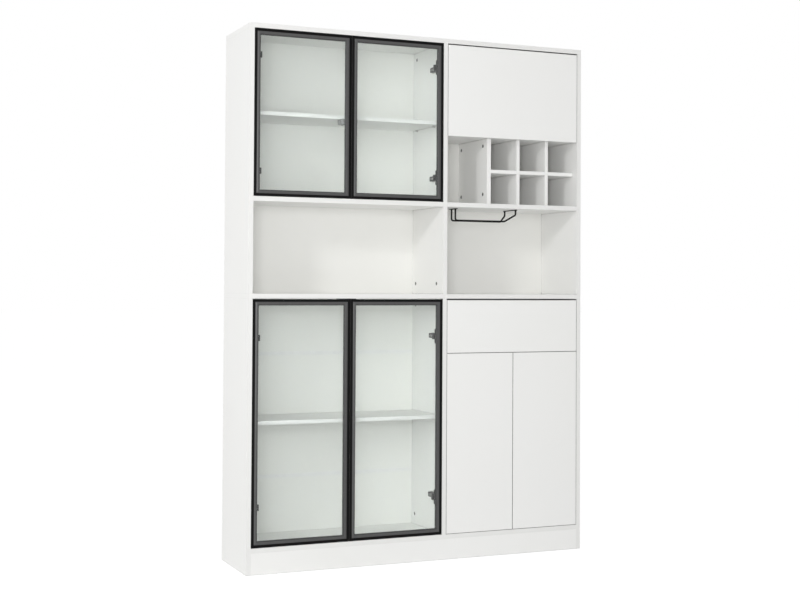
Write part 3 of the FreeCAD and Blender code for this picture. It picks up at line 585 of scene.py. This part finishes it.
# Small hardware, turned from pairs of radius and height
SCREW = cross_head([(3.6, 0), (3.6, 0.5), (3.1, 1.1), (2.2, 1.5)], arm=1.5, half=0.4, depth=0.9)
BIG_SCREW = cross_head([(4.4, 0), (4.4, 0.7), (3.9, 1.2), (2.9, 1.4)], arm=2.0, half=0.5, depth=1.0)
SUNK_SCREW = cross_head([(2.3, 0), (2.3, 0.15), (1.7, 0.3)], arm=1.1, half=0.3, depth=0.25)
TACK = turned([(0, 0), (2.5, 0), (2.3, 0.5), (1.4, 0.85), (0, 1.0)], sides=12)
WELD = turned([(0, -0.2), (4.6, -0.2), (3.7, 0.8), (3.2, 2.2), (0, 2.3)], sides=20)
PIN = turned([(0, -8), (2.4, -8), (2.4, 0), (4.2, 0), (4.4, 0.3), (4.2, 0.8), (2.4, 0.85), (2.4, 7.0),
              (1.6, 8), (0, 8)], sides=20)
CAM = cross_head([(5.9, -11.4), (5.9, -0.7), (5.7, -0.35), (4.6, -0.3), (4.4, -0.1)], arm=2.6, half=0.7,
                 depth=2.0, finer=2)

GLASS_DOORS = ("upper_left_door", "upper_right_door", "lower_left_door", "lower_right_door")
FRONT_THICK = 15.0

# Door frames: mitred rails with a set-back rim painted near black as shade, a sloped inner edge and a slot for the
# pane.
# Insets are from the frame's outside, depths from its front face.
RAIL = {"wide": 19.0, "rim": 8.1, "rim_deep": 0.8, "flat_end": 16.6, "slope_end": 18.8, "slope_deep": 1.9,
        "slot": 11.0, "slot_front": 5.0, "slot_rear": 9.5, "ease": 0.6, "arris": 0.2}
# Each rail stops this far short of the mitre's line
MITRE_GAP = 0.07
CORNER_SCREW = {"along": 14.0, "inset": 5.5}
# A gasket's lip shows past the rail and its root lies in the slot.
# Each row of the lip is an inset and a rise off the slot's face.
GASKET = {"front": 5.05, "rear": 9.45, "root": 15.0}
GASKET_LIP = [(19.05, 1.55), (19.5, 1.25), (19.8, 0.65), (19.9, -0.15), (GASKET["root"], -0.15)]


def rail_profile():
    """The rail's section as pairs of inset and depth, round from its outer front corner."""
    wide, deep, ease, arris = RAIL["wide"], RAIL["rim_deep"], RAIL["ease"], RAIL["arris"]
    rim = [(0, deep + 0.7), (0.25, deep + arris), (0.7, deep), (RAIL["rim"], deep),
           (RAIL["rim"] + 0.5, 0.15), (RAIL["rim"] + deep, 0)]
    face = [(RAIL["flat_end"], 0), (RAIL["flat_end"] + 0.4, 0.1), (RAIL["slope_end"], RAIL["slope_deep"]),
            (wide, RAIL["slope_deep"] + 0.4)]
    slot = [(wide, RAIL["slot_front"]), (RAIL["slot"], RAIL["slot_front"]), (RAIL["slot"], RAIL["slot_rear"]),
            (wide, RAIL["slot_rear"])]
    rear = [(wide, FRONT_THICK - ease), (wide - arris, FRONT_THICK - arris), (wide - ease, FRONT_THICK),
            (ease, FRONT_THICK), (arris, FRONT_THICK - arris), (0, FRONT_THICK - ease)]
    return rim + face + slot + rear


def rail_maps(low, high):
    """For each rail, its length and a function from run, inset and depth to a point."""
    width, tall = high.x - low.x, high.z - low.z
    return [
        (width, lambda run, inset, deep: (low.x + run, low.y + deep, low.z + inset)),
        (width, lambda run, inset, deep: (low.x + run, low.y + deep, high.z - inset)),
        (tall, lambda run, inset, deep: (low.x + inset, low.y + deep, low.z + run)),
        (tall, lambda run, inset, deep: (high.x - inset, low.y + deep, low.z + run)),
    ]


def mitred_rail(length, to_point):
    start = [to_point(inset + MITRE_GAP, inset, deep) for inset, deep in rail_profile()]
    end = [to_point(length - inset - MITRE_GAP, inset, deep) for inset, deep in rail_profile()]
    return lofted([start, end])


def gasket_profiles():
    """The front gasket's section and the rear one's, which mirror each other, in pairs of inset and depth."""
    profiles = []
    for face, sign in ((GASKET["front"], -1), (GASKET["rear"], 1)):
        lip = [(inset, face + sign * rise) for inset, rise in GASKET_LIP]
        profiles.append(lip + [(GASKET["root"], face), (GASKET_LIP[0][0], face)])
    return profiles


def gasket_ring(profile, low, high):
    """A gasket round the pane, through the frame's corners and back to the first."""
    loops = []
    for side, end in ((low, low), (high, low), (high, high), (low, high)):
        x_sign = 1 if side is low else -1
        z_sign = 1 if end is low else -1
        loops.append([(side.x + x_sign * inset, low.y + deep, end.z + z_sign * inset)
                      for inset, deep in profile])
    return lofted(loops, closed=True)


for door in GLASS_DOORS:
    low, high = corners_of(door + "_frame")
    rails, gaskets, corner_screws = Work(), Work(), Work()
    for length, to_point in rail_maps(low, high):
        rails.add(mitred_rail(length, to_point))
        for run in (CORNER_SCREW["along"], length - CORNER_SCREW["along"]):
            place = to_point(run, CORNER_SCREW["inset"], FRONT_THICK)
            corner_screws.add(SUNK_SCREW, spot(*place, TO_REAR))
    for profile in gasket_profiles():
        gaskets.add(gasket_ring(profile, low, high))
    rails.keep(door + "_rails", door, "black_aluminium", "black_aluminium", door + "_frame")
    gaskets.keep(door + "_gaskets", door, "grey_plastic", "black_rubber")
    corner_screws.keep(door + "_corner_screws", door, "nickel_steel", "dark_steel")

# Hinges, each about its own axis: X away from the wall, Y into the cabinet, angles in degrees
FRONT_TURNS = {"upper_left_door": 0, "upper_right_door": 180, "lower_left_door": 0, "lower_right_door": 180,
               "plain_left_door": 0, "plain_right_door": 180, "flap": 90}
KNUCKLE = {"outer": 24.0, "outer_start": 38.7, "outer_end": 87.6,
           "inner": 22.0, "inner_start": 43.0, "inner_end": 87.4, "half": 10.0, "cheek": 2.2}
NOSE = {"left": 18.3, "right": 28.5, "rear": 22.0, "ease": 1.6}
FLANGE = {"left": 1.0, "half": 24.5, "rear": 17.0, "ease": 0.5, "screw_rise": 18.0}
BORED_FLANGE = {"reach": 41.0, "bend": 11.0, "screw": 32.0}
FLAT_FLANGE = {"reach": 21.5, "bend": 3.0, "screw": 12.5}
CUP = {"middle": 22.5, "radius": 17.4, "front": 3.6, "ease": 1.0}
LIP = {"outer": 26.2, "inner": 24.35, "start": 48.0, "end": 88.0}
ARM = {"half": 8.0, "wall": 1.8, "low": 0.9, "side_top": 9.4, "side_front": 25.0, "side_rear": 83.0,
       "web_front": 22.6, "web_rear": 86.0, "web_low": 9.0, "top": 11.0, "web_bend": 3.5,
       "heel_front": 24.6, "heel_rear": 27.0, "ease": 0.5}
PLATE = {"front": 52.0, "rear": 89.0, "half": 9.5, "bend": 4.0, "top": 0.85, "ease": 0.4}
COVER = {"front": 42.0, "rear": 62.0, "half": 4.5, "bend": 2.5, "top": 11.9, "ease": 0.3}
# How far the plate reaches back to the wall beside a door, and to the board over the flap
WALL_GAPS = {"door": 1.5, "flap": 4.0}
ARM_SCREWS = ((34.0, SCREW), (70.0, BIG_SCREW), (79.5, SUNK_SCREW))


def door_half(work, place, flange, bored):
    """The knuckle, the nose and the screwed flange behind a front, and the cup of a bored one."""
    half, cheek = KNUCKLE["half"], KNUCKLE["cheek"]
    outer = arc_points(KNUCKLE["outer"], KNUCKLE["outer_start"], KNUCKLE["outer_end"], 12)
    inner = arc_points(KNUCKLE["inner"], KNUCKLE["inner_end"], KNUCKLE["inner_start"], 12)
    work.add(prism(outer + inner, -half, half), place)
    for low, high in ((-half, cheek - half), (half - cheek, half)):
        work.add(prism(outer + [(FLANGE["left"], FRONT_THICK)], low, high), place)
    nose = block((NOSE["left"], FRONT_THICK, -half), (NOSE["right"], NOSE["rear"], half))
    work.add(eased(nose, NOSE["ease"], steps=3), place)
    outline = rounded_plate((FLANGE["left"], -FLANGE["half"]), (flange["reach"], FLANGE["half"]),
                            flange["bend"])
    work.add(eased(prism(outline, FRONT_THICK, FLANGE["rear"]), FLANGE["ease"]), place @ ON_FRONT)
    if bored:
        radius, front, ease = CUP["radius"], CUP["front"], CUP["ease"]
        cup = [(0, front), (radius - ease, front), (radius, front + ease), (radius, FRONT_THICK),
               (0, FRONT_THICK)]
        work.add(turned(cup, sides=40), place @ spot(CUP["middle"], 0, 0, TO_REAR))


def wall_arm(work, place):
    """The arm: a folded channel that ends in the curved lip round the knuckle."""
    half, inside = ARM["half"], ARM["half"] - ARM["wall"]
    lip = arc_points(LIP["outer"], LIP["start"], LIP["end"], 10)
    lip += arc_points(LIP["inner"], LIP["end"], LIP["start"], 10)
    work.add(prism(lip, -half, half), place)
    web = rounded_plate((ARM["web_front"], -half), (ARM["web_rear"], half), ARM["web_bend"])
    work.add(eased(prism(web, ARM["web_low"], ARM["top"]), ARM["ease"]), place @ ON_WALL)
    for low, high in ((-half, -inside), (inside, half)):
        side = block((ARM["low"], ARM["side_front"], low), (ARM["side_top"], ARM["side_rear"], high))
        work.add(eased(side, ARM["ease"]), place)
    heel = block((ARM["low"], ARM["heel_front"], -inside), (ARM["side_top"], ARM["heel_rear"], inside))
    work.add(eased(heel, ARM["ease"]), place)


def wall_plate(work, place, sizes, low):
    """A plate along the wall with rounded corners, up to its own top."""
    outline = rounded_plate((sizes["front"], -sizes["half"]), (sizes["rear"], sizes["half"]), sizes["bend"])
    work.add(eased(prism(outline, low, sizes["top"]), sizes["ease"]), place @ ON_WALL)


plates, arms, wall_screws = Work(), Work(), Work()
for joint in frame["joints"]:
    front = joint["child"]
    if front not in FRONT_TURNS:
        continue
    axis = Vector(joint["pos_m"]) / MM
    bored = front not in GLASS_DOORS
    flange = BORED_FLANGE if bored else FLAT_FLANGE
    cups, cup_screws = Work(), Work()
    for low, high in solids_of(front + "_hinge_cups"):
        middle = (low + high) / 2
        centre = (middle.x, axis.y, axis.z) if front == "flap" else (axis.x, axis.y, middle.z)
        place = spot(*centre, Matrix.Rotation(math.radians(FRONT_TURNS[front]), 4, "Y"))
        door_half(cups, place, flange, bored)
        wall_arm(arms, place)
        wall_plate(plates, place, PLATE, -WALL_GAPS["flap" if front == "flap" else "door"])
        wall_plate(plates, place, COVER, ARM["top"])
        for rise in (-FLANGE["screw_rise"], FLANGE["screw_rise"]):
            cup_screws.add(SCREW, place @ spot(flange["screw"], FLANGE["rear"], rise, TO_REAR))
        for y, head in ARM_SCREWS:
            wall_screws.add(head, place @ spot(ARM["top"], y, 0, TO_X))
    # The glass doors' knuckles take the near-black steel of painted shade
    cups.keep(front + "_hinge_knuckles", front, "nickel_steel", "nickel_steel" if bored else "arm_steel_painted_shade",
              front + "_hinge_cups")
    cup_screws.keep(front + "_hinge_screws", front, "nickel_steel", "dark_steel")
# The arms take the near-black steel of painted shade
arms.keep("hinge_folded_arms", "root", "nickel_steel", "arm_steel_painted_shade", "hinge_arms")
plates.keep("hinge_cross_plates", "root", "nickel_steel", "nickel_steel", "hinge_plates")
wall_screws.keep("hinge_wall_screws", "root", "nickel_steel", "dark_steel")

# Cam locks, flush in the dividers' left faces, with their cross recess at a slant
CAM_SLANT = Matrix.Rotation(0.35, 4, "Z")
cams = Work()
for low, high in solids_of("cam_locks"):
    middle = (low + high) / 2
    cams.add(CAM, spot(low.x, middle.y, middle.z, TO_LEFT @ CAM_SLANT))
cams.keep("cam_faces", "root", "zinc_steel", "cam_zinc", "cam_locks")

# Shelf pins with a collar at the wall
shelf_pins = Work()
bay_low, bay_high = corners_of("display_floor")
bay_middle = (bay_low.x + bay_high.x) / 2
for low, high in solids_of("shelf_pins"):
    middle = (low + high) / 2
    shelf_pins.add(PIN, spot(*middle, TO_X if middle.x < bay_middle else TO_LEFT))
shelf_pins.keep("shelf_pins_collared", "root", "zinc_steel", "nickel_steel", "shelf_pins")

# Stemware rack: round wires bent open at the mouth, welded under straps that are screwed to the board
WIRE = {"left": 68.0, "back": 95.0, "drop": 43.0, "slot": 30.0, "rail": 188.0, "flare": 30.0, "open": 25.0,
        "rise": 22.0, "radius": 2.9, "bend": 7.0}
# The straps' ends lie past the wires, and their screws lie off the slot's middle
STRAP = {"thick": 2.5, "half": 5.0, "bend": 4.0, "ease": 0.4, "past_slot": 11.0, "past_mouth": 5.5,
         "slot_screw": 4.0, "mouth_screw": 15.5}
rack, rack_screws = Work(), Work()
deck = corners_of("rack_floor")[0]
wire_x, wire_y = deck.x + WIRE["left"], FRONT / MM + WIRE["back"]
mouth_x = wire_x + WIRE["rail"]
open_x = mouth_x + WIRE["flare"]
under = deck.z - STRAP["thick"]
low_z = deck.z - WIRE["drop"] + WIRE["radius"]
slot_half = WIRE["slot"] / 2
mouth_half = slot_half + WIRE["open"]
for side in (-1, 1):
    y = wire_y + side * slot_half
    wide_y = wire_y + side * mouth_half
    corners = [Vector(point) for point in (
        (wire_x, y, under), (wire_x, y, low_z), (mouth_x, y, low_z), (open_x, wide_y, low_z + WIRE["rise"]),
        (open_x, wide_y, under))]
    rack.add(swept(rounded_route(corners, WIRE["bend"]), WIRE["radius"]))
    for x, weld_y in ((wire_x, y), (open_x, wide_y)):
        rack.add(WELD, spot(x, weld_y, under, TO_UNDER))
for x, reach, screw in ((wire_x, slot_half + STRAP["past_slot"], STRAP["slot_screw"]),
                        (open_x, mouth_half + STRAP["past_mouth"], STRAP["mouth_screw"])):
    strap = rounded_plate((x - STRAP["half"], wire_y - reach), (x + STRAP["half"], wire_y + reach),
                          STRAP["bend"])
    rack.add(eased(prism(strap, under, deck.z), STRAP["ease"]))
    for side in (-1, 1):
        rack_screws.add(SUNK_SCREW, spot(x, wire_y + side * screw, under, TO_UNDER))
rack.keep("glass_rack_wires", "root", "black_wire", "black_wire", "glass_rack")
rack_screws.keep("glass_rack_screws", "root", "nickel_steel", "dark_steel")

# Push catches: rounded housings round their plungers, with two screws each and ribs along both sides
CATCH = {"shorter": 14.0, "round": 1.6, "front_screw": 10.5, "rear_screw": 7.0}
# How far each loop of the rounded ends lies in from the sides and from the end
CATCH_EASES = [(1.2, 0.0), (0.35, 0.35), (0.0, 1.2)]
WELL = {"half": 3.8, "deep": 30.0, "bend": 0.25}
RIB = {"half": 0.6, "long": 4.0, "short_of_face": 2.5, "ease": 0.4, "places": (5.0, 14.0, 23.0)}
# A housing hangs under a board when its top lies this close to the board's underside
TOUCH = 1.0


def catch_shell(low, high):
    """A housing with rounded edges and the square well that its plunger slides in."""
    middle = (low + high) / 2
    well = rounded_plate((middle.x - WELL["half"], middle.z - WELL["half"]),
                         (middle.x + WELL["half"], middle.z + WELL["half"]), WELL["bend"])
    loops = [[(x, low.y + deep, z) for x, z in well] for deep in (WELL["deep"], 0.0)]
    ends = [(inset, low.y + deep) for inset, deep in CATCH_EASES]
    ends += [(inset, high.y - deep) for inset, deep in reversed(CATCH_EASES)]
    for inset, y in ends:
        outline = rounded_plate((low.x + inset, low.z + inset), (high.x - inset, high.z - inset),
                                CATCH["round"] - inset)
        loops.append([(x, y, z) for x, z in outline])
    return lofted(loops)


catch_shells, catch_screws = Work(), Work()
shelf_levels = [corners_of(name)[0].z for name in ("upper_shelf", "lower_top_board", "drawer_shelf")]
for low, high in solids_of("catch_housings"):
    high = Vector((high.x, high.y - CATCH["shorter"], high.z))
    middle = (low + high) / 2
    catch_shells.add(catch_shell(low, high))
    hung = any(abs(high.z - level) < TOUCH for level in shelf_levels)
    face_z, turn = (low.z, TO_UNDER) if hung else (high.z, Matrix())
    for y in (low.y + CATCH["front_screw"], high.y - CATCH["rear_screw"]):
        catch_screws.add(SCREW, spot(middle.x, y, face_z, turn))
    for wall_x in (low.x, high.x):
        for deep in RIB["places"]:
            y = low.y + deep
            rib = block((wall_x - RIB["half"], y, low.z + RIB["short_of_face"]),
                        (wall_x + RIB["half"], y + RIB["long"], high.z - RIB["short_of_face"]))
            catch_shells.add(eased(rib, RIB["ease"]))
catch_shells.keep("catch_shells", "root", "grey_plastic", "grey_plastic", "catch_housings")
catch_screws.keep("catch_screws", "root", "nickel_steel", "dark_steel")

# Tacks that hold the rear panels to the boards behind which they lie. Where the two upper panels meet,
# one row lies over the middle of the boards and one under it.
OFF_JOINT = 3.8
LEVEL_TACKS = {"display_floor": (OFF_JOINT, -OFF_JOINT), "rack_floor": (OFF_JOINT, -OFF_JOINT),
               "rack_ceiling": (0,), "drawer_shelf": (0,), "lower_bottom_board": (0,)}
LEVEL_COUNTS = {"short": 4, "long": 5}
LONG_BOARD = 600.0
UPRIGHT = {"count": 6, "first_share": 0.37}
tacks = Work()
for node, rows in LEVEL_TACKS.items():
    low, high = corners_of(node)
    count = LEVEL_COUNTS["long" if high.x - low.x > LONG_BOARD else "short"]
    for over in rows:
        for k in range(count):
            x = low.x + (high.x - low.x) * (k + 0.5) / count
            tacks.add(TACK, spot(x, SHEET_REAR / MM, (low.z + high.z) / 2 + over, TO_REAR))
for node in ("upper_divider", "lower_divider"):
    low, high = corners_of(node)
    for k in range(UPRIGHT["count"]):
        z = low.z + (high.z - low.z) * (k + UPRIGHT["first_share"]) / UPRIGHT["count"]
        tacks.add(TACK, spot((low.x + high.x) / 2, SHEET_REAR / MM, z, TO_REAR))
tacks.keep("back_tacks", "root", "zinc_steel", "dark_steel")

# Drawer runners: screws through the drawer's channels, and a nylon nib at each front end
CHANNEL = {"web": 1.2, "end_screw": 22.0}
NIB = {"front": 1.0, "rear": 9.0, "rise": 1.4, "open_side": 0.4, "web_side": 1.3, "ease": 0.8}
runner_screws, runner_nibs = Work(), Work()
drawer_left, drawer_right = corners_of("drawer_sides")
for low, high in solids_of("drawer_runners"):
    left = low.x < (drawer_left.x + drawer_right.x) / 2
    web = high.x - CHANNEL["web"] if left else low.x + CHANNEL["web"]
    for y in (low.y + CHANNEL["end_screw"], (low.y + high.y) / 2, high.y - CHANNEL["end_screw"]):
        runner_screws.add(SCREW, spot(web, y, (low.z + high.z) / 2, TO_LEFT if left else TO_X))
    left_inset, right_inset = NIB["open_side"], NIB["web_side"]
    if not left:
        left_inset, right_inset = right_inset, left_inset
    nib = block((low.x + left_inset, low.y + NIB["front"], low.z + NIB["rise"]),
                (high.x - right_inset, low.y + NIB["rear"], high.z - NIB["rise"]))
    runner_nibs.add(eased(nib, NIB["ease"]))
runner_screws.keep("runner_screws", "drawer", "zinc_steel", "dark_steel")
runner_nibs.keep("runner_nibs", "drawer", "grey_plastic", "white_plastic")


# Studio in metres, degrees and watts: a pale floor, an even sky, a key lamp high on the left,
# one near the camera and a weak one on the left and behind

FLOOR = {"half": 40.0, "under": 0.2 * MM, "tone": 0.85, "glow": 1.235, "glow_share": 0.7}
SKY = {"lighting": 0.54, "seen": 1.0}
TARGET = Vector((0, 0, 0.9))
LAMPS = {
    "key_lamp": {"from_left": 55.0, "from_above": 19.5, "distance": 5.0, "size": 0.6, "power": 47.0},
    "front_lamp": {"from_left": 25.0, "from_above": 3.0, "distance": 5.0, "size": 1.0, "power": 68.0},
    "left_lamp": {"from_left": 112.0, "from_above": 5.0, "distance": 4.0, "size": 2.5, "power": 12.0},
}


def floor_shader(shader):
    """Matt floor that the camera sees nearly white, with a faint shadow under the object."""
    matt = shader.node("BsdfDiffuse", {"Color": grey(FLOOR["tone"])}).outputs["BSDF"]
    glow = shader.white_light("Emission", FLOOR["glow"])
    return shader.mixed(shader.calc("MULTIPLY", shader.seen(), FLOOR["glow_share"]), matt, glow)


def sky_shader(shader):
    """Even light from all around, which the camera sees as plain white."""
    lighting = shader.white_light("Background", SKY["lighting"])
    white = shader.white_light("Background", SKY["seen"])
    return shader.mixed(shader.seen(), lighting, white)


def lamp(name, from_left, from_above, distance, size, power):
    """A square lamp aimed at the cabinet's middle, placed by its angles left of and above straight ahead."""
    data = bpy.data.lights.new(name, "AREA")
    data.shape = "SQUARE"
    data.size = size
    data.energy = power
    made = bpy.data.objects.new(name, data)
    scene.collection.objects.link(made)
    side, rise = math.radians(from_left), math.radians(from_above)
    towards = Vector((-math.sin(side) * math.cos(rise), -math.cos(side) * math.cos(rise), math.sin(rise)))
    made.location = TARGET + towards * distance
    made.rotation_mode = "QUATERNION"
    made.rotation_quaternion = towards.to_track_quat("Z", "Y")


half = FLOOR["half"]
floor_mesh = bpy.data.meshes.new("floor")
floor_mesh.from_pydata([(-half, -half, 0), (half, -half, 0), (half, half, 0), (-half, half, 0)], [],
                       [(0, 1, 2, 3)])
floor_mesh.materials.append(made_of("floor", floor_shader))
floor = bpy.data.objects.new("floor", floor_mesh)
scene.collection.objects.link(floor)
floor.location.z = -FLOOR["under"]

world_shader = Shader(bpy.data.worlds.new("studio_sky"))
scene.world = world_shader.finish(sky_shader(world_shader))
for name, values in LAMPS.items():
    lamp(name, **values)
